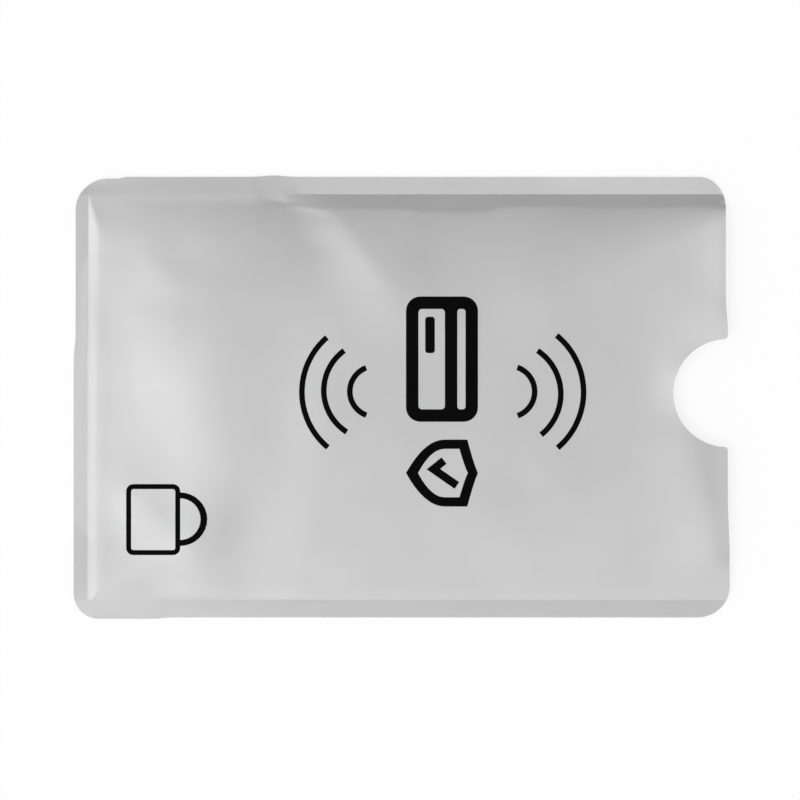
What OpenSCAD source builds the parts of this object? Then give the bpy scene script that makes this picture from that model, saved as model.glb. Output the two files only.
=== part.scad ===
// Shielding sleeve for one card: two laminated film walls, heat welded along the closed end
// and both long edges, open at the mouth, with a thumb notch through both walls.
// Millimetres. The sleeve lies on its back at z = 0, its mouth towards +X, printed face up.

/* [Card] */
// Length of the card that the sleeve is made for
card_len = 85.6; // [60:0.1:110]
// Width of the card
card_wid = 53.98; // [40:0.01:80]
// Thickness of the card
card_t = 0.76; // [0.5:0.01:1.5]

/* [Pocket] */
// Play beside the card, on each side, up to the weld
side_play = 1.51; // [1.4:0.01:4]
// Length of sleeve between the card's end and the mouth
end_play = 4.5; // [2:0.1:10]
// Headroom over the card, from wall to wall
head_room = 0.24; // [0.1:0.01:1]
// Rise of the front wall's crown above its shoulders
crown_h = 0.35; // [0.1:0.05:1.5]
// Width of the slope between a long weld and the raised front
side_shoulder_w = 1.8; // [0.8:0.1:2]
// Width of the slope between the end weld and the raised front
end_shoulder_w = 1.4; // [0.6:0.1:3]

/* [Welds] */
// Width of the weld along each long edge
side_seal_w = 2.5; // [1:0.1:5]
// Width of the weld across the closed end
end_seal_w = 1.9; // [1:0.1:5]

/* [Film] */
// Thickness of the matte outer film
outer_film_t = 0.05; // [0.03:0.01:0.15]
// Thickness of the aluminium foil
foil_t = 0.02; // [0.01:0.005:0.05]
// Thickness of the clear film that seals the pocket
sealing_film_t = 0.08; // [0.04:0.01:0.2]

/* [Outline] */
// Radius of the four outer corners
corner_r = 3.6; // [1:0.1:6]
// Radius of the thumb notch, centred on the mouth edge
notch_r = 8; // [4:0.1:14]
// Distance of the notch's centre above the sleeve's middle line
notch_rise = 0.4; // [-4:0.1:4]
// Radius where the notch runs out into the mouth edge
lip_r = 0.8; // [0.3:0.1:2]

/* [Hidden] */
$fn = 64;

// Plan: the welds and the play go round the card.
pocket_len = card_len + end_play;
pocket_wid = card_wid + 2 * side_play;
body_len = end_seal_w + pocket_len;
body_wid = pocket_wid + 2 * side_seal_w;
mouth_x = body_len / 2;
closed_x = -body_len / 2;
weld_x = closed_x + end_seal_w;
weld_y = pocket_wid / 2;
edge_y = body_wid / 2;

// Height: the back wall's layers, then the pocket, then the front wall's layers.
foil_z = outer_film_t;
sealing_z = foil_z + foil_t;
pocket_z = sealing_z + sealing_film_t;
pocket_h = card_t + head_room;
crown_run = pocket_len / 2;

// How far a cutting outline passes what it cuts, and how finely the pillow is drawn.
overrun = 1;
shoulder_steps = 5;
length_steps = 16;
width_steps = 14;

// Rises smoothly from 0 to 1 as t goes from 0 to 1, and stays level outside.
function ease(t) = let (u = min(max(t, 0), 1)) u * u * (3 - 2 * u);

// Share of the full crown at a distance from the middle line.
function arch(y) = max(0, 1 - pow(y / weld_y, 2));

// Clear height between the walls at a point of the plan, nothing on the welds.
function gap(x, y) =
    pocket_h * ease((x - weld_x) / end_shoulder_w) * ease((weld_y - abs(y)) / side_shoulder_w)
    + crown_h * ease((x - weld_x) / crown_run) * arch(y);

// Values from one to the other in equal steps, both ends included.
function steps(from, to, count) = [for (i = [0 : count]) from + (to - from) * i / count];

// A list without its first value, so that two runs can share one.
function tail(list) = [for (i = [1 : len(list) - 1]) list[i]];

// Grid lines across the pocket, close together on the shoulders.
slope_end_x = weld_x + end_shoulder_w;
slope_end_y = weld_y - side_shoulder_w;
pocket_xs = concat(
    steps(weld_x, slope_end_x, shoulder_steps),
    tail(steps(slope_end_x, mouth_x + overrun, length_steps))
);
pocket_ys = concat(
    steps(-weld_y, -slope_end_y, shoulder_steps),
    tail(steps(-slope_end_y, slope_end_y, width_steps)),
    tail(steps(slope_end_y, weld_y, shoulder_steps))
);

// The same grid with the weld strips around it.
sleeve_xs = concat([closed_x - overrun], pocket_xs);
sleeve_ys = concat([-edge_y - overrun], pocket_ys, [edge_y + overrun]);

// A closed sheet over a grid. Its underside follows the pocket's gap from the height base.
module draped_sheet(xs, ys, base, thick) {
    rows = len(xs);
    cols = len(ys);
    under = [for (x = xs) for (y = ys) [x, y, base + gap(x, y)]];
    over = [for (p = under) p + [0, 0, thick]];
    last = rows * cols;
    // Each cell is split along the line from the nearer long edge towards the middle.
    cells = [
        for (i = [0 : rows - 2]) for (j = [0 : cols - 2])
            let (a = i * cols + j, b = a + 1, c = b + cols, d = a + cols)
            ys[j] < 0 ? [[a, b, c], [a, c, d]] : [[a, b, d], [b, c, d]]
    ];
    tops = [for (cell = cells) for (t = cell) [for (k = t) k + last]];
    undersides = [for (cell = cells) for (t = cell) [t[2], t[1], t[0]]];
    rim = concat(
        [for (j = [0 : cols - 2]) [j, j + 1]],
        [for (i = [0 : rows - 2]) [i * cols + cols - 1, (i + 1) * cols + cols - 1]],
        [for (j = [cols - 1 : -1 : 1]) [last - cols + j, last - cols + j - 1]],
        [for (i = [rows - 1 : -1 : 1]) [i * cols, (i - 1) * cols]]
    );
    sides = [for (e = rim) each [[e[0], e[1], e[1] + last], [e[0], e[1] + last, e[0] + last]]];
    polyhedron(points = concat(under, over), faces = concat(tops, undersides, sides));
}

// Rectangle with rounded corners, centred.
module rounded_plan() {
    square([body_len - 2 * corner_r, body_wid], center = true);
    square([body_len, body_wid - 2 * corner_r], center = true);
    for (sx = [-1, 1], sy = [-1, 1])
        translate([sx * (body_len / 2 - corner_r), sy * (body_wid / 2 - corner_r)]) circle(corner_r);
}

// The half-round notch, opened at both ends to make room for the rounded lips.
module notch_plan() {
    lip_y = sqrt(pow(notch_r + lip_r, 2) - pow(lip_r, 2));
    touch = notch_r / (notch_r + lip_r);
    translate([mouth_x, notch_rise]) difference() {
        union() {
            circle(notch_r);
            for (side = [-1, 1])
                polygon([
                    [0, 0], [-lip_r * touch, side * lip_y * touch], [-lip_r, side * lip_y],
                    [overrun, side * lip_y], [overrun, 0]
                ]);
        }
        for (side = [-1, 1]) translate([-lip_r, side * lip_y]) circle(lip_r);
    }
}

// The cut edge that every full layer shares.
module sleeve_plan() {
    difference() {
        rounded_plan();
        notch_plan();
    }
}

// The part of the plan inside the three welds.
module pocket_plan() {
    intersection() {
        sleeve_plan();
        translate([weld_x, -weld_y]) square([pocket_len + overrun, pocket_wid]);
    }
}

// One of the weld strips, cut to the outline.
module weld_plan(x, y, size) {
    intersection() {
        sleeve_plan();
        translate([x, y]) square(size);
    }
}

// A flat layer of the back wall.
module flat_layer(z, thick) {
    translate([0, 0, z]) linear_extrude(height = thick) children();
}

// A layer of the front wall, cut to the shared outline.
module front_layer(xs, ys, z, thick) {
    intersection() {
        draped_sheet(xs, ys, z, thick);
        translate([0, 0, z - overrun]) linear_extrude(height = pocket_h + crown_h + 2 * overrun) sleeve_plan();
    }
}

// A weld: both sealing films melted into one band.
module weld(x, y, size) {
    translate([0, 0, sealing_z]) linear_extrude(height = 2 * sealing_film_t) weld_plan(x, y, size);
}

module front_outer_film() {
    color("silver") front_layer(sleeve_xs, sleeve_ys, pocket_z + sealing_film_t + foil_t, outer_film_t);
}

module front_shield_foil() {
    color("lightgray") front_layer(sleeve_xs, sleeve_ys, pocket_z + sealing_film_t, foil_t);
}

module front_sealing_film() {
    color("whitesmoke") front_layer(pocket_xs, pocket_ys, pocket_z, sealing_film_t);
}

module back_sealing_film() {
    color("whitesmoke") flat_layer(sealing_z, sealing_film_t) pocket_plan();
}

module back_shield_foil() {
    color("lightgray") flat_layer(foil_z, foil_t) sleeve_plan();
}

module back_outer_film() {
    color("silver") flat_layer(0, outer_film_t) sleeve_plan();
}

module end_seal() {
    color("gainsboro") weld(closed_x - overrun, -weld_y, [end_seal_w + overrun, pocket_wid]);
}

module upper_side_seal() {
    color("gainsboro") weld(closed_x - overrun, weld_y, [body_len + 2 * overrun, side_seal_w + overrun]);
}

module lower_side_seal() {
    color("gainsboro") weld(closed_x - overrun, -edge_y - overrun, [body_len + 2 * overrun, side_seal_w + overrun]);
}

front_outer_film();
front_shield_foil();
front_sealing_film();
back_sealing_film();
back_shield_foil();
back_outer_film();
end_seal();
upper_side_seal();
lower_side_seal();
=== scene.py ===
import math

import bpy
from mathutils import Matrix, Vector, geometry, noise


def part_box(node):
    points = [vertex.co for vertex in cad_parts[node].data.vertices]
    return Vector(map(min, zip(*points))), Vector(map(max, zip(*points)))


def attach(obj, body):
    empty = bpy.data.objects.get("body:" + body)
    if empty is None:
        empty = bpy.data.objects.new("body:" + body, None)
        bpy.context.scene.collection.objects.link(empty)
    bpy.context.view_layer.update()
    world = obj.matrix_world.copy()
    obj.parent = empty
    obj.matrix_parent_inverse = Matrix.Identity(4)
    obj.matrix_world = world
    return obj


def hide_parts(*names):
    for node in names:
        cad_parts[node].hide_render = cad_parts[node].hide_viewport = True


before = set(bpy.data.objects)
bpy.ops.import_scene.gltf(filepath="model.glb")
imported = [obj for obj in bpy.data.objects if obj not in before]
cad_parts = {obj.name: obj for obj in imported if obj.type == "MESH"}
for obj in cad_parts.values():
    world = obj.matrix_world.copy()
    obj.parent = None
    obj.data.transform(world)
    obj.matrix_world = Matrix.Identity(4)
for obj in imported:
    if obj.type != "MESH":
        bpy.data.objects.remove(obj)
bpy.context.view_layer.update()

# Lengths below are in millimetres, and MM turns them into Blender's metres.
MM = 0.001
BODY = "root"


def node_box(name):
    """Lowest and highest corner of a layer, in millimetres."""
    low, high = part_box(name)
    return low / MM, high / MM


# Plan and layer heights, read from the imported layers.
half_len = node_box("back_outer_film")[1].x
half_wid = node_box("back_outer_film")[1].y
weld_x = node_box("back_sealing_film")[0].x
weld_y = node_box("back_sealing_film")[1].y
outer_t = node_box("back_outer_film")[1].z
foil_t = node_box("back_shield_foil")[1].z - outer_t
sealing_t = node_box("back_sealing_film")[1].z - foil_t - outer_t
sealing_z = outer_t + foil_t
wall_t = outer_t + foil_t + sealing_t
stack_t = 2 * wall_t

# Outline features, as the photo shows them. Each corner, by the signs of its x and y, was cut a
# little differently, and so was the notch.
corner_radii = {(-1, -1): 3.5, (1, -1): 4.4, (1, 1): 4.3, (-1, 1): 4.8}
notch_r = 7.56
notch_x = half_len - 0.26
notch_y = 0.55
lip_r = 0.55

# The photo: its side in pixels, its pixels to a millimetre, and the sleeve's middle in it.
photo_side = 800
photo_scale = 7.12
photo_middle = (401.5, 397.0)


# Smooth changes, and soft forms of height 1 over the plan.
def ease(t):
    """Rises smoothly from 0 to 1 as t goes from 0 to 1."""
    u = min(max(t, 0.0), 1.0)
    return u * u * (3 - 2 * u)


def grown(value, start, length):
    """Rises smoothly from 0 to 1 over a length from a start."""
    return ease((value - start) / length)


def change(value, low, high, start, length):
    """Goes smoothly from low to high over a length from a start."""
    return low + (high - low) * grown(value, start, length)


def profile(points, x):
    """Height at x on a smooth line through listed (place, height) points."""
    if x <= points[0][0]:
        return points[0][1]
    for i in range(len(points) - 1):
        (x0, h0), (x1, h1) = points[i], points[i + 1]
        if x < x1:
            before = points[i - 1] if i else points[i]
            after = points[i + 2] if i + 2 < len(points) else points[i + 1]
            m0 = (h1 - before[1]) / (x1 - before[0])
            m1 = (after[1] - h0) / (after[0] - x0)
            span = x1 - x0
            t = (x - x0) / span
            return (
                h0 * (1 + 2 * t) * (1 - t) ** 2
                + m0 * span * t * (1 - t) ** 2
                + h1 * t * t * (3 - 2 * t)
                + m1 * span * t * t * (t - 1)
            )
    return points[-1][1]


def mound(x, y, middle, radii):
    """A soft round rise of height 1 with the given radii."""
    u = (x - middle[0]) / radii[0]
    v = (y - middle[1]) / radii[1]
    return math.exp(-u * u - v * v)


def fold(x, y, start, end, left, right):
    """A soft crest of height 1 along a line, with its own width on each side, fading past both ends."""
    dx, dy = end[0] - start[0], end[1] - start[1]
    length = math.hypot(dx, dy)
    along = ((x - start[0]) * dx + (y - start[1]) * dy) / length
    across = ((y - start[1]) * dx - (x - start[0]) * dy) / length
    width = left if across > 0 else right
    past = max(-along, along - length, 0.0) / (left + right)
    return math.exp(-((across / width) ** 2) - 4 * past * past)


def ripple(x, y, length, seed):
    """Fixed noise from about -1 to 1 over the plan, with waves of about a length."""
    return noise.noise(Vector((x / length, y / length, seed)))


# Heights of the front wall over the closed pocket. The first two go by distance from the end
# weld, below and above. The next three go by distance from the upper weld, left of the long
# crease, where the wall comes up softly: over most of it, in the corner and between the two.
END_RISE = [
    (0, 0), (0.35, 0.015), (1.3, 0.092), (3.7, 0.160), (5.4, 0.215), (7.1, 0.285), (12.1, 0.57),
    (15, 0.715), (18, 0.86), (22, 1.08), (30, 2.2),
]
END_RISE_TOP = [
    (0, 0), (1.3, 0.072), (3, 0.118), (6, 0.21), (9, 0.325), (12, 0.445), (16, 0.58), (22, 0.9), (30, 2.0),
]
SOFT_TOP = [
    (0, 0), (0.4, 0.010), (1.1, 0.038), (2.2, 0.112), (3.3, 0.187), (4.5, 0.262), (5.6, 0.327), (6.7, 0.385),
    (8, 0.45), (9.5, 0.52), (11.5, 0.59), (14, 0.66), (17, 0.72), (21, 0.765), (25, 0.78), (28.5, 0.79),
]
CORNER_TOP = [
    (0, 0), (0.3, 0.006), (1.1, 0.022), (2.2, 0.051), (3.3, 0.082), (4.5, 0.114), (5.6, 0.140), (6.7, 0.165),
    (8, 0.20), (9.5, 0.26), (11.5, 0.36), (14, 0.50), (17, 0.64), (21, 0.745), (25, 0.775), (28.5, 0.785),
]
MIDDLE_TOP = [
    (0, 0), (0.3, 0.006), (1.1, 0.024), (2.2, 0.062), (3.3, 0.101), (4.5, 0.142), (5.6, 0.177), (6.7, 0.209),
    (8, 0.247), (9.5, 0.298), (11.5, 0.39), (14, 0.515), (17, 0.64), (21, 0.745), (25, 0.775), (28.5, 0.785),
]

# Right of the crease the upper side stands up steeply. By place along the sleeve: the level at
# its foot, the width of the dark band at the weld, its slope, and the foot's height in the plan.
LEVEL = [(-17, 0.82), (-8, 0.84), (0, 0.86), (20, 0.92), (34, 0.95), (46, 1.05)]
BAND_WIDTH = [
    (-17.3, 1.1), (-14.4, 1.4), (-12, 1.65), (-8, 1.95), (1, 2.1), (3, 2.4), (12, 2.4), (14, 1.8),
    (23, 1.6), (26, 1.75), (36, 1.75), (43, 1.4), (46, 1.1),
]
FACET_SLOPE = [
    (-17, 0.066), (-12, 0.0645), (-8, 0.0605), (-4, 0.0575), (0, 0.055), (8, 0.052), (19, 0.056),
    (28, 0.076), (46, 0.078),
]
FACET_FOOT = [
    (-17, 8), (-8, 11), (0, 12), (6, 9.5), (12, 9), (20, 11.5), (22.3, 12.5), (36, 19), (42, 22.5), (46, 25),
]
FACET_TOP = 26.4

# The steep side falls with a power of the way from its foot, and rolls over at its very top.
FALL_POWER = 1.8
ROLL = 0.03
ROLL_POWER = 11

# Share of the full height by distance from the lower weld, in general and near the closed end.
LOWER_SHARE = [(0, 0), (1, 0.27), (3, 0.47), (7, 0.73), (12, 0.90), (17, 0.97), (22, 1.0)]
LOWER_SOFT = [(0, 0), (1.5, 0.16), (4, 0.38), (8, 0.64), (12, 0.82), (16, 0.92), (20, 0.98), (24, 1.0)]

# The long crease, as its place along the sleeve and its width, by height across the sleeve.
CREASE_PLACE = [
    (0, -8), (8, -7), (15, -7.5), (21, -9.5), (24, -11.5), (26, -13.5), (27.5, -18.8), (31, -19),
]
CREASE_WIDTH = [(0, 18), (8, 17), (15, 13), (21, 9), (24, 9), (26, 8), (27.5, 3), (31, 2.4)]

# Where one profile gives way to the next, as a start and a length: corner to middle and middle
# to soft by distance from the end weld, lower shares along the sleeve, end rises across it.
CORNER_SPAN = (2, 7)
MIDDLE_SPAN = (6, 26)
LOWER_SPAN = (-36, 12)
END_SPAN = (2, 13)

# The rise from the closed end leans: it shifts along the sleeve by a share of the height across
# it, within limits and from a distance off the weld that changes across the sleeve.
LEAN = 0.15
LEAN_LIMITS = (-15, 14)
LEAN_START = (4, 1, -6, 12)
LEAN_LENGTH = 9

# Near the corners that rise is cut by a share and stepped up by heights. Each grows over one
# span of distance from the end weld and one across the sleeve.
TOP_CUT = (0.25, (1, 6), (11, 13))
RISE_STEPS = [
    (0.04, (0, 1.6), (12, 8)),
    (0.02, (0, 1.3), (-15, -5)),
]

# How far from the end weld its rise counts, how sharply it meets the rest of the wall, and the
# least heights with which the two are joined.
END_REACH = 30
JOIN_POWER = 9
LEAST_WALL = 0.001
LEAST_RISE = 0.0005

# Creases and bulges of the front wall: height and form, then a fold's two ends and the widths
# of its left and right side, or a mound's middle and radii.
CREASES = [
    (0.03, fold, (-9.5, 24.5), (-3.4, 19), 4.0, 3.5),
    (0.03, fold, (-33.0, 20.5), (-28, 20.5), 5.0, 4.5),
    (0.085, fold, (-10, -3), (-13, -26), 20, 6.2),
    (0.02, mound, (-12, -3.5), (4.0, 6.0)),
    (0.055, fold, (40.6, -7), (43.2, -20), 3.0, 4.6),
    (-0.006, fold, (-20.5, -12), (-22.5, -27), 4.0, 3.8),
    (0.105, fold, (-36.7, -14), (-30.5, -19.5), 6.0, 3.6),
    (0.07, mound, (-36, -19), (4.0, 5.0)),
    (0.10, mound, (47, 20), (4.5, 7.0)),
    (0.20, mound, (47, 9.5), (6.0, 5.0)),
    (0.16, mound, (41, 2.2), (3.8, 4.0)),
    (-0.03, mound, (46.5, -22.5), (1.6, 1.5)),
]

# Small waves of the front wall, as height, length and seed, and their distance of fading in.
WALL_WAVES = [(0.020, 9, 3.7), (0.0012, 2.6, 8.1)]
WAVE_FADE = 3


def fall(t):
    """Drop of the steep upper side per unit of its slope, from its foot at t = 0 to its top at 1."""
    return t**FALL_POWER / FALL_POWER + ROLL * t**ROLL_POWER


def steep_top(x, d):
    """Height of the steep upper side at a distance from its weld."""
    band = profile(BAND_WIDTH, x)
    foot = profile(FACET_FOOT, x)
    depth = FACET_TOP - foot
    t = max((weld_y - max(d, band) - foot) / depth, 0)
    height = profile(LEVEL, x) - profile(FACET_SLOPE, x) * depth * fall(t)
    return height * min(d / band, 1)


def soft_top(x, d):
    """Height of the soft upper side at a distance from its weld, lower near the closed end."""
    inner = x - weld_x
    corner = change(inner, profile(CORNER_TOP, d), profile(MIDDLE_TOP, d), *CORNER_SPAN)
    return change(inner, corner, profile(SOFT_TOP, d), *MIDDLE_SPAN)


def end_rise(inner, y):
    """Height of the rise from the closed end at a distance from its weld."""
    lean = LEAN * min(max(y, LEAN_LIMITS[0]), LEAN_LIMITS[1])
    lean *= grown(inner, change(y, *LEAN_START), LEAN_LENGTH)
    rise = change(y, profile(END_RISE, inner + lean), profile(END_RISE_TOP, inner), *END_SPAN)
    share, along, across = TOP_CUT
    rise *= 1 - share * grown(y, *across) * grown(inner, *along)
    for height, along, across in RISE_STEPS:
        rise += height * grown(inner, *along) * grown(y, *across)
    return rise


def gap(x, y):
    """Clear height between the walls, nothing on the welds."""
    inner = x - weld_x
    top = weld_y - y
    bottom = y + weld_y
    if inner <= 0 or top <= 0 or bottom <= 0:
        return 0.0
    turn = ease((x - profile(CREASE_PLACE, y)) / profile(CREASE_WIDTH, y) + 0.5)
    wall = 0.0
    if turn < 1:
        wall += (1 - turn) * soft_top(x, top)
    if turn > 0:
        wall += turn * steep_top(x, top)
    wall *= change(x, profile(LOWER_SOFT, bottom), profile(LOWER_SHARE, bottom), *LOWER_SPAN)
    if inner < END_REACH and wall > LEAST_WALL:
        rise = max(end_rise(inner, y), LEAST_RISE)
        wall = (wall**-JOIN_POWER + rise**-JOIN_POWER) ** (-1 / JOIN_POWER)
    for height, form, *shape in CREASES:
        wall += height * form(x, y, *shape)
    fade = ease(min(inner, top, bottom) / WAVE_FADE)
    for height, length, seed in WALL_WAVES:
        wall += fade * height * ripple(x, y, length, seed)
    return max(wall, 0.0)


# How far the welds' inner edges stand off the table from the pull of the pocket, and how far
# the cut edges curl up, along the sleeve and, at the closed end, across it.
UPPER_SEAM = [(-40, 0.085), (-21, 0.09), (-18.6, 0.06), (-16.5, 0.04), (-14.2, 0.01), (-12, 0.0)]
LOWER_SEAM = [(-44, 0.13), (-32, 0.12), (-24, 0.06), (-16, 0.01), (-10, 0.0)]
END_SEAM = 0.02
UPPER_CURL = [(-14, 0.0), (8, 0.01), (20, 0.045), (26, 0.10), (46, 0.13)]
LOWER_CURL = [(-20, 0.0), (-5, 0.02), (46, 0.02)]
END_CURL = [(5, 0.0), (15, 0.01), (25, 0.025), (31, 0.03)]

# How far into the pocket a seam's lift fades out, on the back wall and on the front wall.
BACK_FADE = 4
FRONT_FADE = 12

# Small waves of the whole stack, as height, length and seed: everywhere, and on the welds only
# from a margin inside their edges over a length.
STACK_WAVE = (0.012, 14, 1.3)
WELD_WAVE = (0.004, 2.2, 5.9)
WELD_MARGIN = 1
WELD_MARGIN_LENGTH = 2


def seam(x, y, fade):
    """Lift of the stack by its welds, fading over a distance into the pocket."""
    out_y = (half_wid - abs(y)) / (half_wid - weld_y)
    in_y = (weld_y - abs(y)) / fade
    share = max(min(out_y, 1), 0) * ease(1 - in_y)
    rise = share * profile(UPPER_SEAM if y > 0 else LOWER_SEAM, x)
    rise += (1 - min(max(out_y, 0), 1)) * profile(UPPER_CURL if y > 0 else LOWER_CURL, x)
    out_x = min(max((x + half_len) / (weld_x + half_len), 0), 1)
    rise += (1 - out_x) * profile(END_CURL, y)
    return max(rise, END_SEAM * out_x * ease(1 - (x - weld_x) / fade))


def wave(x, y, height, length, seed):
    """Waves from 0 to a height."""
    return height * (0.5 + 0.5 * ripple(x, y, length, seed))


def lift(x, y):
    """Small waves of the whole stack off the table."""
    edge = grown(abs(y), weld_y - WELD_MARGIN, WELD_MARGIN_LENGTH)
    edge += grown(x, weld_x + WELD_MARGIN, -WELD_MARGIN_LENGTH)
    return wave(x, y, *STACK_WAVE) + wave(x, y, *WELD_WAVE) * min(edge, 1.0)


# Waver of the cut edges in the plan, fading out a few millimetres inside them. Each row goes
# from one shift to another, by a start and a length: across the sleeve at the closed end and at
# the mouth, and along the sleeve at its long edges. The upper edge also bulges once.
CUT_FADE = 4
END_CUT = (-0.06, 0.22, 5, 4)
MOUTH_CUTS = [(0.09, -0.17, -22.5, 9), (0.0, -0.28, 9.3, 5)]
UPPER_CUT = (0.24, 0.0, -39.8, 1.2)
UPPER_CUT_INSET = 0.08
UPPER_CUT_BULGE = (0.20, (-18, 0), (1.9, 1))
LOWER_CUT = (-0.16, 0.03, -35.3, 3.3)
CUT_WAVE = (0.02, 9, 2.2)


def cut_shift(x, y):
    """In-plane waver of the cut edges."""
    dx = grown(x, CUT_FADE - half_len, -CUT_FADE) * change(y, *END_CUT)
    dx += grown(x, half_len - CUT_FADE, CUT_FADE) * sum(change(y, *cut) for cut in MOUTH_CUTS)
    height, length, seed = CUT_WAVE
    dy = height * ripple(x, 0.0, length, seed)
    if y > 0:
        bulge, middle, radii = UPPER_CUT_BULGE
        dy += bulge * mound(x, 0, middle, radii) - UPPER_CUT_INSET - change(x, *UPPER_CUT)
    else:
        dy += change(x, *LOWER_CUT)
    return dx, dy * grown(abs(y), half_wid - CUT_FADE, CUT_FADE)


# Meshing of the plan: the grid's spacing in general and on the slopes beside the welds, how
# near it comes to fixed lines as a share of its spacing, how much of the lips' radius stays
# clear round the notch, and the spacing along the cut edge.
COARSE = 0.62
FINE = 0.3
COARSE_MARGIN = 0.45
FINE_MARGIN = 0.6
SLOPE_OUTSIDE = 0.4
END_SLOPE = 2.0
SIDE_SLOPE = 2.8
LINE_INSET = 0.02
LIP_SHARE = 0.25
ARC_STEP = 0.3
ARC_LEAST = 6
EDGE_STEP = 0.5
LONG_SIDE = 0.6
SAME_PLACE = 1e-4

# Blender's triangulation: its tolerance, and its codes for what it gives back.
MESH_EPSILON = 1e-5
INSIDE_OUTLINE = 1
FACES_OF_LOOPS = 2


def arc_points(cx, cy, r, start, end, count):
    """Points along an arc between two angles in degrees, both ends included."""
    angles = [math.radians(start + (end - start) * i / count) for i in range(count + 1)]
    return [(cx + r * math.cos(a), cy + r * math.sin(a)) for a in angles]


def split(start, end, count):
    """Points that split a line into equal parts, neither end included."""
    (px, py), (x, y) = start, end
    return [(px + (x - px) * k / count, py + (y - py) * k / count) for k in range(1, count)]


def cut_arc(cx, cy, r, start, end):
    """An arc of the cut edge between two angles in degrees."""
    count = max(int(abs(math.radians(end - start)) * r / ARC_STEP), ARC_LEAST)
    return arc_points(cx, cy, r, start, end, count)


def cut_corner(sx, sy, start):
    """A corner of the cut edge, by the signs of its x and y, from an angle in degrees."""
    r = corner_radii[(sx, sy)]
    return cut_arc(sx * (half_len - r), sy * (half_wid - r), r, start, start + 90)


def outline():
    """The cut edge as a closed run of points: rounded corners, and a notch with rounded lips."""
    lip_x = half_len - lip_r
    lip_y = math.sqrt((notch_r + lip_r) ** 2 - (lip_x - notch_x) ** 2)
    lean = math.degrees(math.atan2(lip_y, notch_x - lip_x))
    points = cut_corner(-1, -1, 180)
    points += cut_corner(1, -1, 270)
    points += cut_arc(lip_x, notch_y - lip_y, lip_r, 0, lean)
    points += cut_arc(notch_x, notch_y, notch_r, 180 + lean, 180 - lean)
    points += cut_arc(lip_x, notch_y + lip_y, lip_r, -lean, 0)
    points += cut_corner(1, 1, 0)
    points += cut_corner(-1, 1, 90)
    loop = []
    for i, point in enumerate(points):
        span = math.dist(point, points[i - 1])
        if i and span > LONG_SIDE:
            loop += split(points[i - 1], point, int(span / EDGE_STEP))
        if not loop or math.dist(point, loop[-1]) > SAME_PLACE:
            loop.append(point)
    return loop + split(loop[-1], loop[0], int(math.dist(loop[0], loop[-1]) / EDGE_STEP))


def clearance(x, y):
    """Distance inside the cut edge, below 0 outside it."""
    r = corner_radii[(1 if x > 0 else -1, 1 if y > 0 else -1)]
    dx = abs(x) - (half_len - r)
    dy = abs(y) - (half_wid - r)
    outside = math.hypot(max(dx, 0), max(dy, 0)) + min(max(dx, dy), 0)
    return min(r - outside, math.hypot(x - notch_x, y - notch_y) - notch_r - lip_r * LIP_SHARE)


def lattice(step, keep):
    """Points on a triangular grid that keep(x, y) accepts."""
    found = []
    row_step = step * math.sqrt(3) / 2
    for row in range(int(2 * half_wid / row_step) + 1):
        y = -half_wid + row * row_step
        start = -half_len + (step / 2 if row % 2 else 0)
        for i in range(int(2 * half_len / step) + 1):
            x = start + i * step
            if keep(x, y):
                found.append((x, y))
    return found


def near_weld(x, y):
    """Is a point on the slopes beside a weld, where the mesh is finer?"""
    return -SLOPE_OUTSIDE < x - weld_x < END_SLOPE or -SLOPE_OUTSIDE < weld_y - abs(y) < SIDE_SLOPE


def off_lines(x, y, margin):
    """Is a point clear of the cut edge and of the weld lines?"""
    return clearance(x, y) > margin and abs(abs(y) - weld_y) > margin and abs(x - weld_x) > margin


def as_triangles(faces):
    """Faces with any number of corners, cut into triangles."""
    return [(face[0], face[k], face[k + 1]) for face in faces for k in range(1, len(face) - 1)]


def plan_mesh():
    """Points and triangles of the plan, with edges along the outline and the weld lines."""
    loop = outline()
    points = list(loop)
    edges = [(i, (i + 1) % len(loop)) for i in range(len(loop))]
    reach = half_len - LINE_INSET
    lines = (
        ((-reach, weld_y), (reach, weld_y)),
        ((-reach, -weld_y), (reach, -weld_y)),
        ((weld_x, -weld_y), (weld_x, weld_y)),
    )
    for start, end in lines:
        count = int(math.dist(start, end) / FINE)
        first = len(points)
        for i in range(count + 1):
            t = i / count
            points.append((start[0] + (end[0] - start[0]) * t, start[1] + (end[1] - start[1]) * t))
        edges += [(first + i, first + i + 1) for i in range(count)]
    points += lattice(FINE, lambda x, y: near_weld(x, y) and off_lines(x, y, FINE * FINE_MARGIN))
    points += lattice(COARSE, lambda x, y: not near_weld(x, y) and off_lines(x, y, COARSE * COARSE_MARGIN))
    got = geometry.delaunay_2d_cdt(
        [Vector(p) for p in points], edges, [list(range(len(loop)))], INSIDE_OUTLINE, MESH_EPSILON
    )
    return [(v.x, v.y) for v in got[0]], as_triangles(got[2])


def middle_of(spots, triangle):
    """Middle of a triangle, given by its numbers in a list of places."""
    return tuple(sum(spots[i][k] for i in triangle) / 3 for k in (0, 1))


def weld_line(p, q):
    """Do two places lie on one inner edge of a weld?"""
    return any(
        max(abs(abs(a) - line), abs(abs(b) - line)) < SAME_PLACE
        for a, b, line in ((p[1], q[1], weld_y), (p[0], q[0], -weld_x))
        if a * b > 0 and (line == weld_y or a < 0)
    )


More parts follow.
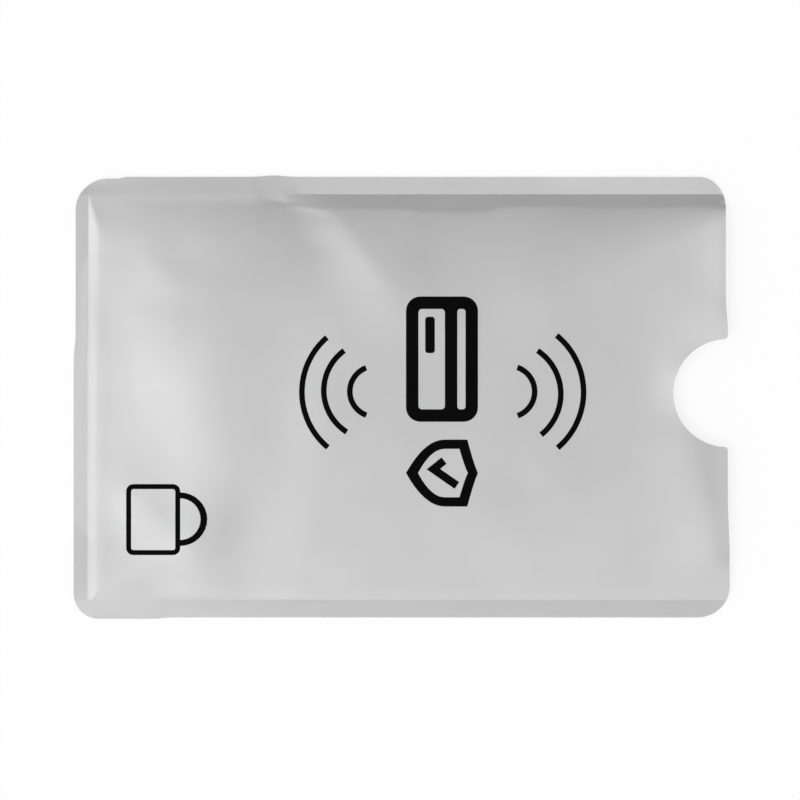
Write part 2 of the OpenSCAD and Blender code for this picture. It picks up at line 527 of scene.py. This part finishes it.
def slab(name, spots, cells, low, high):
    """A closed thin solid over some triangles of the plan, between two height functions."""
    used = sorted({i for cell in cells for i in cell})
    at = {old: new for new, old in enumerate(used)}
    count = len(used)
    under, over = [], []
    for i in used:
        x, y = spots[i]
        dx, dy = cut_shift(x, y)
        under.append(((x + dx) * MM, (y + dy) * MM, low(x, y) * MM))
        over.append(((x + dx) * MM, (y + dy) * MM, high(x, y) * MM))
    faces, rim = [], {}
    for a, b, c in cells:
        (ax, ay), (bx, by), (cx, cy) = spots[a], spots[b], spots[c]
        if (bx - ax) * (cy - ay) - (by - ay) * (cx - ax) < 0:
            b, c = c, b
        a, b, c = at[a], at[b], at[c]
        faces.append((a + count, b + count, c + count))
        faces.append((c, b, a))
        for p, q in ((a, b), (b, c), (c, a)):
            if (q, p) in rim:
                del rim[(q, p)]
            else:
                rim[(p, q)] = True
    sides = [(p, q, q + count, p + count) for p, q in rim]
    mesh = bpy.data.meshes.new(name)
    mesh.from_pydata(under + over, [], faces + sides)
    mesh.shade_smooth()
    edge_of = {tuple(sorted(e.vertices)): e for e in mesh.edges}
    sharp = [pair for pair in edge_of if weld_line(*(spots[used[i % count]] for i in pair))]
    for p, q in rim:
        sharp += [tuple(sorted((p, q))), tuple(sorted((p + count, q + count)))]
    for pair in sharp:
        edge_of[pair].use_edge_sharp = True
    piece = bpy.data.objects.new(name, mesh)
    bpy.context.scene.collection.objects.link(piece)
    return piece


def back_face(z):
    """Height function of a face at height z in the back wall's stack."""
    return lambda x, y: z + lift(x, y) + seam(x, y, BACK_FADE)


def front_face(z):
    """Height function of a face at height z in the whole stack, over the pocket."""
    return lambda x, y: z + lift(x, y) + seam(x, y, FRONT_FADE) + gap(x, y)


def dress(piece, material, slot, *nodes):
    """Gives a piece its material, puts it under the body and hides the layers it stands for; the slot is not
    used.
    """
    piece.data.materials.append(material)
    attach(piece, BODY)
    if nodes:
        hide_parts(*nodes)
    return piece


# Materials: helpers first, then one function for each.
BLUE_CAST = 1.005


def new_material(name):
    """A material with an empty Principled surface, and the helpers that wire it."""
    material = bpy.data.materials.new(name)
    material.use_nodes = True
    nodes, links = material.node_tree.nodes, material.node_tree.links
    shader = nodes["Principled BSDF"]

    def add(kind, **values):
        """A new node of a kind, with its settings."""
        node = nodes.new(kind)
        for key, value in values.items():
            setattr(node, key, value)
        return node

    return material, shader, add, links.new


def noise_field(add, link, scale, detail=3.0, stretch=(1, 1, 1)):
    """Noise over the piece's own metres, at a scale in cells to the metre."""
    place = add("ShaderNodeTexCoord")
    stretched = add("ShaderNodeMapping")
    stretched.inputs["Scale"].default_value = stretch
    field = add("ShaderNodeTexNoise")
    field.inputs["Scale"].default_value = scale
    field.inputs["Detail"].default_value = detail
    link(place.outputs["Object"], stretched.inputs["Vector"])
    link(stretched.outputs["Vector"], field.inputs["Vector"])
    return field.outputs["Fac"]


def grey(value):
    """A neutral colour with a trace of blue."""
    return (value, value, value * BLUE_CAST, 1.0)


def ramp(add, link, fac, low, high):
    """Turns a value from 0 to 1 into greys, between two (position, value) stops."""
    node = add("ShaderNodeValToRGB")
    for element, (position, value) in zip(node.color_ramp.elements, (low, high)):
        element.position = position
        element.color = grey(value)
    link(fac, node.inputs["Fac"])
    return node.outputs["Color"]


def silver_film():
    """Matte metallised film: soft metal with a fine grain and faint cloudy patches."""
    material, shader, add, link = new_material("matte_silver_film")
    clouds = noise_field(add, link, 60, 4)
    link(ramp(add, link, clouds, (0.3, 0.508), (0.7, 0.524)), shader.inputs["Base Color"])
    shader.inputs["Metallic"].default_value = 1.0
    streaks = noise_field(add, link, 900, 2, (0.25, 1, 1))
    link(ramp(add, link, streaks, (0.3, 0.274), (0.7, 0.288)), shader.inputs["Roughness"])
    grain = noise_field(add, link, 9000, 2)
    bump = add("ShaderNodeBump")
    bump.inputs["Strength"].default_value = 0.02
    bump.inputs["Distance"].default_value = 0.00002
    link(grain, bump.inputs["Height"])
    link(bump.outputs["Normal"], shader.inputs["Normal"])
    return material


def foil():
    """Bright rolled aluminium foil, seen only at the cut edges."""
    material, shader, add, link = new_material("shield_foil")
    lines = noise_field(add, link, 4000, 2, (0.05, 1, 1))
    link(ramp(add, link, lines, (0.3, 0.74), (0.7, 0.82)), shader.inputs["Base Color"])
    shader.inputs["Metallic"].default_value = 1.0
    link(ramp(add, link, lines, (0.2, 0.22), (0.8, 0.34)), shader.inputs["Roughness"])
    return material


def lining():
    """Clear sealing film bonded to foil, as it looks from inside the pocket."""
    material, shader, add, link = new_material("sealing_film")
    clouds = noise_field(add, link, 120, 3)
    link(ramp(add, link, clouds, (0.3, 0.6), (0.7, 0.66)), shader.inputs["Base Color"])
    shader.inputs["Metallic"].default_value = 0.9
    link(ramp(add, link, clouds, (0.2, 0.3), (0.8, 0.4)), shader.inputs["Roughness"])
    shader.inputs["Coat Weight"].default_value = 0.6
    shader.inputs["Coat Roughness"].default_value = 0.12
    return material


def weld_film():
    """The melted band of both sealing films, milky at its cut edge."""
    material, shader, add, link = new_material("weld")
    clouds = noise_field(add, link, 700, 3)
    link(ramp(add, link, clouds, (0.3, 0.55), (0.7, 0.68)), shader.inputs["Base Color"])
    link(ramp(add, link, clouds, (0.2, 0.35), (0.8, 0.5)), shader.inputs["Roughness"])
    return material


def black_ink():
    """Screen-printed black, slightly uneven."""
    material, shader, add, link = new_material("black_ink")
    clouds = noise_field(add, link, 500, 4)
    link(ramp(add, link, clouds, (0.3, 0.0012), (0.7, 0.0022)), shader.inputs["Base Color"])
    link(ramp(add, link, clouds, (0.2, 0.5), (0.8, 0.62)), shader.inputs["Roughness"])
    shader.inputs["Specular IOR Level"].default_value = 0.03
    return material


silver = silver_film()
foil_metal = foil()
lining_film = lining()
weld_band = weld_film()
ink = black_ink()

# Film layers and welds: name, triangles, kind of face, lower and upper height, material, slot
# and the node of the construction.
places, triangles = plan_mesh()
middles = [(t, *middle_of(places, t)) for t in triangles]
upper = [t for t, x, y in middles if y > weld_y]
lower = [t for t, x, y in middles if y < -weld_y]
end = [t for t, x, y in middles if abs(y) < weld_y and x < weld_x]
pocket = [t for t, x, y in middles if abs(y) < weld_y and x > weld_x]
front_foil_z = wall_t + sealing_t
front_film_z = stack_t - outer_t
layers = (
    ("back_film", triangles, back_face, 0, outer_t, silver, "matte_silver_film", "back_outer_film"),
    ("back_foil", triangles, back_face, outer_t, sealing_z, foil_metal, "shield_foil", "back_shield_foil"),
    ("back_lining", pocket, back_face, sealing_z, wall_t, lining_film, "sealing_film", "back_sealing_film"),
    ("front_lining", pocket, front_face, wall_t, front_foil_z, lining_film, "sealing_film",
     "front_sealing_film"),
    ("front_foil", triangles, front_face, front_foil_z, front_film_z, foil_metal, "shield_foil",
     "front_shield_foil"),
    ("front_film", triangles, front_face, front_film_z, stack_t, silver, "matte_silver_film",
     "front_outer_film"),
    ("end_weld", end, back_face, sealing_z, front_foil_z, weld_band, "weld", "end_seal"),
    ("upper_weld", upper, back_face, sealing_z, front_foil_z, weld_band, "weld", "upper_side_seal"),
    ("lower_weld", lower, back_face, sealing_z, front_foil_z, weld_band, "weld", "lower_side_seal"),
)
for name, cells, face, low, high, material, slot, node in layers:
    dress(slab(name, places, cells, face(low), face(high)), material, slot, node)

# The ink: how deep it sinks into the film and how high it stands, and the spacing of its mesh.
# The print reads from the mouth's side, so its upward direction is +X.
INK_SINK = 0.006
INK_RISE = 0.010
INK_GRID = 0.5
INK_EDGE_STEP = 0.45
STROKE_STEP = 0.4
STROKE_LEAST = 8
BOX_CORNER_STEPS = 6


def grow_ring(points):
    """A closed run of points with its long sides split."""
    ring = []
    for i, point in enumerate(points):
        count = max(int(math.dist(point, points[i - 1]) / INK_EDGE_STEP), 1)
        ring += split(points[i - 1], point, count) + [point]
    return ring


def inside(point, ring):
    """Is a point inside a closed run of points?"""
    x, y = point
    odd = False
    for i, (bx, by) in enumerate(ring):
        ax, ay = ring[i - 1]
        if (ay > y) != (by > y) and x < ax + (y - ay) / (by - ay) * (bx - ax):
            odd = not odd
    return odd


def print_ink(name, outer, holes=()):
    """A thin printed patch on the front film, inside one outline and outside its holes."""
    rings = [grow_ring(outer)] + [grow_ring(hole)[::-1] for hole in holes]
    points, loops = [], []
    for ring in rings:
        loops.append(list(range(len(points), len(points) + len(ring))))
        points += ring
    xs, ys = zip(*outer)
    for i in range(int((max(xs) - min(xs)) / INK_GRID) + 1):
        for j in range(int((max(ys) - min(ys)) / INK_GRID) + 1):
            spot = (min(xs) + (i + 0.5) * INK_GRID, min(ys) + (j + 0.5) * INK_GRID)
            if all(math.dist(spot, point) > INK_GRID / 2 for ring in rings for point in ring):
                points.append(spot)
    edges = [(loop[k - 1], loop[k]) for loop in loops for k in range(len(loop))]
    got = geometry.delaunay_2d_cdt(
        [Vector(p) for p in points], edges, loops, FACES_OF_LOOPS, MESH_EPSILON
    )
    spots = [(v.x, v.y) for v in got[0]]
    cells = [t for t in as_triangles(got[2]) if inside(middle_of(spots, t), rings[0])]
    for hole in rings[1:]:
        cells = [t for t in cells if not inside(middle_of(spots, t), hole)]
    patch = slab(name, spots, cells, front_face(stack_t - INK_SINK), front_face(stack_t + INK_RISE))
    return dress(patch, ink, "black_ink")


def rounded_box(low, high, r):
    """Outline of a box with rounded corners, anticlockwise."""
    left, right, foot, top = low[0] + r, high[0] - r, low[1] + r, high[1] - r
    ring = []
    for cx, cy, start in ((right, top, 0), (left, top, 90), (left, foot, 180), (right, foot, 270)):
        ring += arc_points(cx, cy, r, start, start + 90, BOX_CORNER_STEPS)
    return ring


def photo_place(px, py):
    """A place on the sleeve from a place in the photo."""
    return ((px - photo_middle[0]) / photo_scale, (photo_middle[1] - py) / photo_scale)


def arc_stroke(name, first, mid, last, width):
    """A stroke of even width with square ends, along the arc through three places."""
    (ax, ay), (bx, by), (cx, cy) = first, mid, last
    d = 2 * (ax * (by - cy) + bx * (cy - ay) + cx * (ay - by))
    a2, b2, c2 = ax * ax + ay * ay, bx * bx + by * by, cx * cx + cy * cy
    ox = (a2 * (by - cy) + b2 * (cy - ay) + c2 * (ay - by)) / d
    oy = (a2 * (cx - bx) + b2 * (ax - cx) + c2 * (bx - ax)) / d
    r = math.hypot(ax - ox, ay - oy)
    start = math.atan2(ay - oy, ax - ox)
    turn = 2 * math.pi
    sweep = (math.atan2(cy - oy, cx - ox) - start) % turn
    if (math.atan2(by - oy, bx - ox) - start) % turn >= sweep:
        sweep -= turn
    count = max(int(abs(sweep) * r / STROKE_STEP), STROKE_LEAST)
    ring = []
    for side, order in ((1, range(count + 1)), (-1, range(count, -1, -1))):
        reach = r + side * width / 2
        for k in order:
            a = start + sweep * k / count
            ring.append((ox + reach * math.cos(a), oy + reach * math.sin(a)))
    if sweep < 0:
        ring.reverse()
    print_ink(name, ring)


def stroke_ring(stops, width):
    """A bent stroke of even width with square ends, along a few places."""
    left, right = [], []
    for i, (x, y) in enumerate(stops):
        before = stops[max(i - 1, 0)]
        after = stops[min(i + 1, len(stops) - 1)]
        ux, uy = x - before[0], y - before[1]
        vx, vy = after[0] - x, after[1] - y
        ul, vl = math.hypot(ux, uy) or 1, math.hypot(vx, vy) or 1
        nx, ny = -(uy / ul + vy / vl), ux / ul + vx / vl
        length = math.hypot(nx, ny)
        grow = width / 2 if i in (0, len(stops) - 1) else width / length
        left.append((x + nx / length * grow, y + ny / length * grow))
        right.append((x - nx / length * grow, y - ny / length * grow))
    return (left + right[::-1])[::-1]


# Radio waves: two ends and the crown of each arc, as places in the photo.
WAVE_STROKE = 0.80
WAVES = {
    "wave_left_outer": ((327, 337.4), (301.9, 392.4), (327.9, 447.4)),
    "wave_left_middle": ((344.2, 350.6), (323.8, 391.4), (346.8, 432)),
    "wave_left_inner": ((366.2, 367.8), (349.8, 391.6), (366.4, 415.2)),
    "wave_right_inner": ((517.3, 367.4), (534.7, 391.6), (517.6, 415.7)),
    "wave_right_middle": ((537.5, 350.6), (560.8, 392), (541.1, 434.8)),
    "wave_right_outer": ((556.6, 335.4), (583.6, 391.6), (557.6, 447.9)),
}
for name, stops in WAVES.items():
    arc_stroke(name, *(photo_place(*stop) for stop in stops), WAVE_STROKE)

# Padlock, lying on its side: a body in outline, and a half-ring shackle with its outer and
# inner half width. Two corners of the body, and the shackle's crown, as places in the photo.
LOCK_CORNERS = ((126.1, 555.1), (180.2, 484.1))
SHACKLE_CROWN = (207.3, 519.2)
LOCK_STROKE = 0.7
LOCK_RADIUS = 1.0
LOCK_INNER_RADIUS = 0.35
SHACKLE_SINK = 0.05
SHACKLE_HALF_WIDTHS = (3.77, 2.93)
SHACKLE_STROKE = 0.95
SHACKLE_STEPS = 16
lock_low, lock_high = (photo_place(*corner) for corner in LOCK_CORNERS)
lock_hole_low = [c + LOCK_STROKE for c in lock_low]
lock_hole_high = [c - LOCK_STROKE for c in lock_high]
print_ink(
    "padlock_body",
    rounded_box(lock_low, lock_high, LOCK_RADIUS),
    [rounded_box(lock_hole_low, lock_hole_high, LOCK_INNER_RADIUS)],
)
crown_x, shackle_y = photo_place(*SHACKLE_CROWN)
shackle_x = lock_high[0] - SHACKLE_SINK
shackle = []
for inset, half, order in (
    (0, SHACKLE_HALF_WIDTHS[0], range(SHACKLE_STEPS + 1)),
    (SHACKLE_STROKE, SHACKLE_HALF_WIDTHS[1], range(SHACKLE_STEPS, -1, -1)),
):
    reach = crown_x - shackle_x - inset
    for k in order:
        a = math.radians(-90 + 180 * k / SHACKLE_STEPS)
        shackle.append((shackle_x + reach * math.cos(a), shackle_y + half * math.sin(a)))
print_ink("padlock_shackle", shackle)

# In place of the word, a bank card and a shield, about as long and as bold as it. The word's
# two corners are places in the photo, and the signs are centred on it.
WORD_CORNERS = ((406, 512), (478, 291))
word_low, word_high = (photo_place(*corner) for corner in WORD_CORNERS)
sign_foot, sign_top = word_low[0], word_high[0]
card_w = 17.6
sign_gap = 2.5
shield_w = 9.4
signs_start = (word_low[1] + word_high[1] + card_w + sign_gap + shield_w) / 2

# The bank card: its frame, its magnetic stripe as the bar between two windows, and a bar for
# its number, as the distances of its corners from the near corners of the frame's inside.
CARD_FRAME = 1.75
CARD_RADIUS = 2.0
STRIPE = (2.9, 1.15)
STRIPE_WINDOW_RADIUS = 0.4
WINDOW_RADIUS = 0.5
NUMBER_X = (0.95, 2.3)
NUMBER_Y = (6.2, 1.1)
NUMBER_RADIUS = 0.4
card_low = (sign_foot, signs_start - card_w)
card_high = (sign_top, signs_start)
inner_low = [c + CARD_FRAME for c in card_low]
inner_high = [c - CARD_FRAME for c in card_high]
stripe_x = [inner_high[0] - inset for inset in STRIPE]
print_ink(
    "card_sign",
    rounded_box(card_low, card_high, CARD_RADIUS),
    [
        rounded_box((stripe_x[1], inner_low[1]), inner_high, STRIPE_WINDOW_RADIUS),
        rounded_box(inner_low, (stripe_x[0], inner_high[1]), WINDOW_RADIUS),
    ],
)
number_low = (inner_low[0] + NUMBER_X[0], inner_high[1] - NUMBER_Y[0])
number_high = (inner_low[0] + NUMBER_X[1], inner_high[1] - NUMBER_Y[1])
print_ink("card_number_sign", rounded_box(number_low, number_high, NUMBER_RADIUS))

# The shield: its stroke, how far its ears and the ends of its straight sides lie under its
# peak, the points on half its top and on one of its sides, and the powers of their curves. The
# insets say how far the hole's peak, ears and foot move in for a stroke of 1 on its sides. The
# tick's stops are measured from a place above the shield's foot.
SHIELD_STROKE = 1.3
EAR_DROP = 1.5
STRAIGHT_DROP = 4.6
SHIELD_TOP_POINTS = 6
SHIELD_SIDE_POINTS = 12
SHIELD_TOP_POWER = 0.85
SHIELD_SIDE_POWER = 2.1
PEAK_INSET = 1.1
EAR_INSET = 0.85
FOOT_INSET = 1.3
TICK_STROKE = 1.15
TICK_RISE = 5.7
TICK = ((-0.35, 1.75), (-1.85, 0.55), (1.45, -1.75))
shield_y = signs_start - card_w - sign_gap - shield_w / 2


def shield_ring(inset):
    """A shield with a peaked top towards +X, straight upper sides and a pointed foot."""
    half = shield_w / 2 - inset
    peak = sign_top - inset * PEAK_INSET
    ear = sign_top - EAR_DROP - inset * EAR_INSET
    straight = sign_top - STRAIGHT_DROP
    foot = sign_foot + inset * FOOT_INSET
    ring = [(peak, shield_y)]
    for k in range(1, SHIELD_TOP_POINTS + 1):
        t = k / SHIELD_TOP_POINTS
        ring.append((peak - (peak - ear) * t**SHIELD_TOP_POWER, shield_y + half * t))
    for k in range(SHIELD_SIDE_POINTS):
        t = k / (SHIELD_SIDE_POINTS - 1)
        ring.append((straight + (foot - straight) * t, shield_y + half * (1 - t**SHIELD_SIDE_POWER)))
    mirrored = [(x, 2 * shield_y - y) for x, y in ring[-2:0:-1]]
    return ring + mirrored


print_ink("shield_sign", shield_ring(0), [shield_ring(SHIELD_STROKE)])
tick_stops = [(sign_foot + TICK_RISE + x, shield_y + y) for x, y in TICK]
print_ink("shield_tick", stroke_ring(tick_stops, TICK_STROKE))

# The floor, from here on in metres. To the camera and in reflections it is paler than it is to
# the light, and it keeps a part of the shadow.
floor_side = 4.0
floor_drop = 0.00002
floor_white = 0.8
floor_mesh = bpy.data.meshes.new("floor")
floor_signs = ((-1, -1), (1, -1), (1, 1), (-1, 1))
floor_corners = [(x * floor_side, y * floor_side, -floor_drop) for x, y in floor_signs]
floor_mesh.from_pydata(floor_corners, [], [(0, 1, 2, 3)])
floor = bpy.data.objects.new("floor", floor_mesh)
bpy.context.scene.collection.objects.link(floor)
paper, paper_shader, add, link = new_material("floor")
paper_shader.inputs["Base Color"].default_value = (0.98, 0.98, 0.98, 1)
paper_shader.inputs["Roughness"].default_value = 0.9
paper_shader.inputs["Specular IOR Level"].default_value = 0.0
rays = add("ShaderNodeLightPath")
seen = add("ShaderNodeMath", operation="MAXIMUM")
seen_through = add("ShaderNodeMath", operation="MAXIMUM")
paler = add("ShaderNodeMath", operation="MULTIPLY")
paler.inputs[1].default_value = floor_white
white = add("ShaderNodeEmission")
white.inputs["Strength"].default_value = 1.0
mixed = add("ShaderNodeMixShader")
link(rays.outputs["Is Camera Ray"], seen.inputs[0])
link(rays.outputs["Is Glossy Ray"], seen.inputs[1])
link(seen.outputs["Value"], seen_through.inputs[0])
link(rays.outputs["Is Transmission Ray"], seen_through.inputs[1])
link(seen_through.outputs["Value"], paler.inputs[0])
link(paler.outputs["Value"], mixed.inputs["Fac"])
link(paper_shader.outputs["BSDF"], mixed.inputs[1])
link(white.outputs["Emission"], mixed.inputs[2])
link(mixed.outputs["Shader"], paper.node_tree.nodes["Material Output"].inputs["Surface"])
floor_mesh.materials.append(paper)

world = bpy.data.worlds.new("studio")
bpy.context.scene.world = world
world.use_nodes = True
background = world.node_tree.nodes["Background"]
background.inputs["Color"].default_value = (1, 1, 1, 1)
background.inputs["Strength"].default_value = 0.66

# A large soft box over the lower left. Its nearer edges lie just past the point overhead.
box_height = 9.6
box_x = (-24.0, -0.150)
box_y = (-24.0, 0.752)
box_light = 1.29
lamp = bpy.data.lights.new("soft_box", "AREA")
lamp.shape = "RECTANGLE"
lamp.size = box_x[1] - box_x[0]
lamp.size_y = box_y[1] - box_y[0]
lamp.energy = box_light * math.pi * lamp.size * lamp.size_y
lamp_object = bpy.data.objects.new("soft_box", lamp)
lamp_object.location = (sum(box_x) / 2, sum(box_y) / 2, box_height)
bpy.context.scene.collection.objects.link(lamp_object)

# The camera looks straight down. Its lens gives the photo's scale at the front wall's height.
camera_height = 3.7
pocket_height = 1.0
front_z = stack_t + pocket_height
view_width = photo_side / photo_scale
view_x, view_y = photo_place(photo_side / 2, photo_side / 2)
camera = bpy.data.cameras.new("camera")
camera.sensor_width = 36
camera.lens = camera.sensor_width * (camera_height / MM - front_z) / view_width
camera.clip_start = 0.01
camera_object = bpy.data.objects.new("camera", camera)
camera_object.location = (view_x * MM, view_y * MM, camera_height)
bpy.context.scene.collection.objects.link(camera_object)
bpy.context.scene.camera = camera_object
bpy.context.scene.view_settings.view_transform = "Standard"
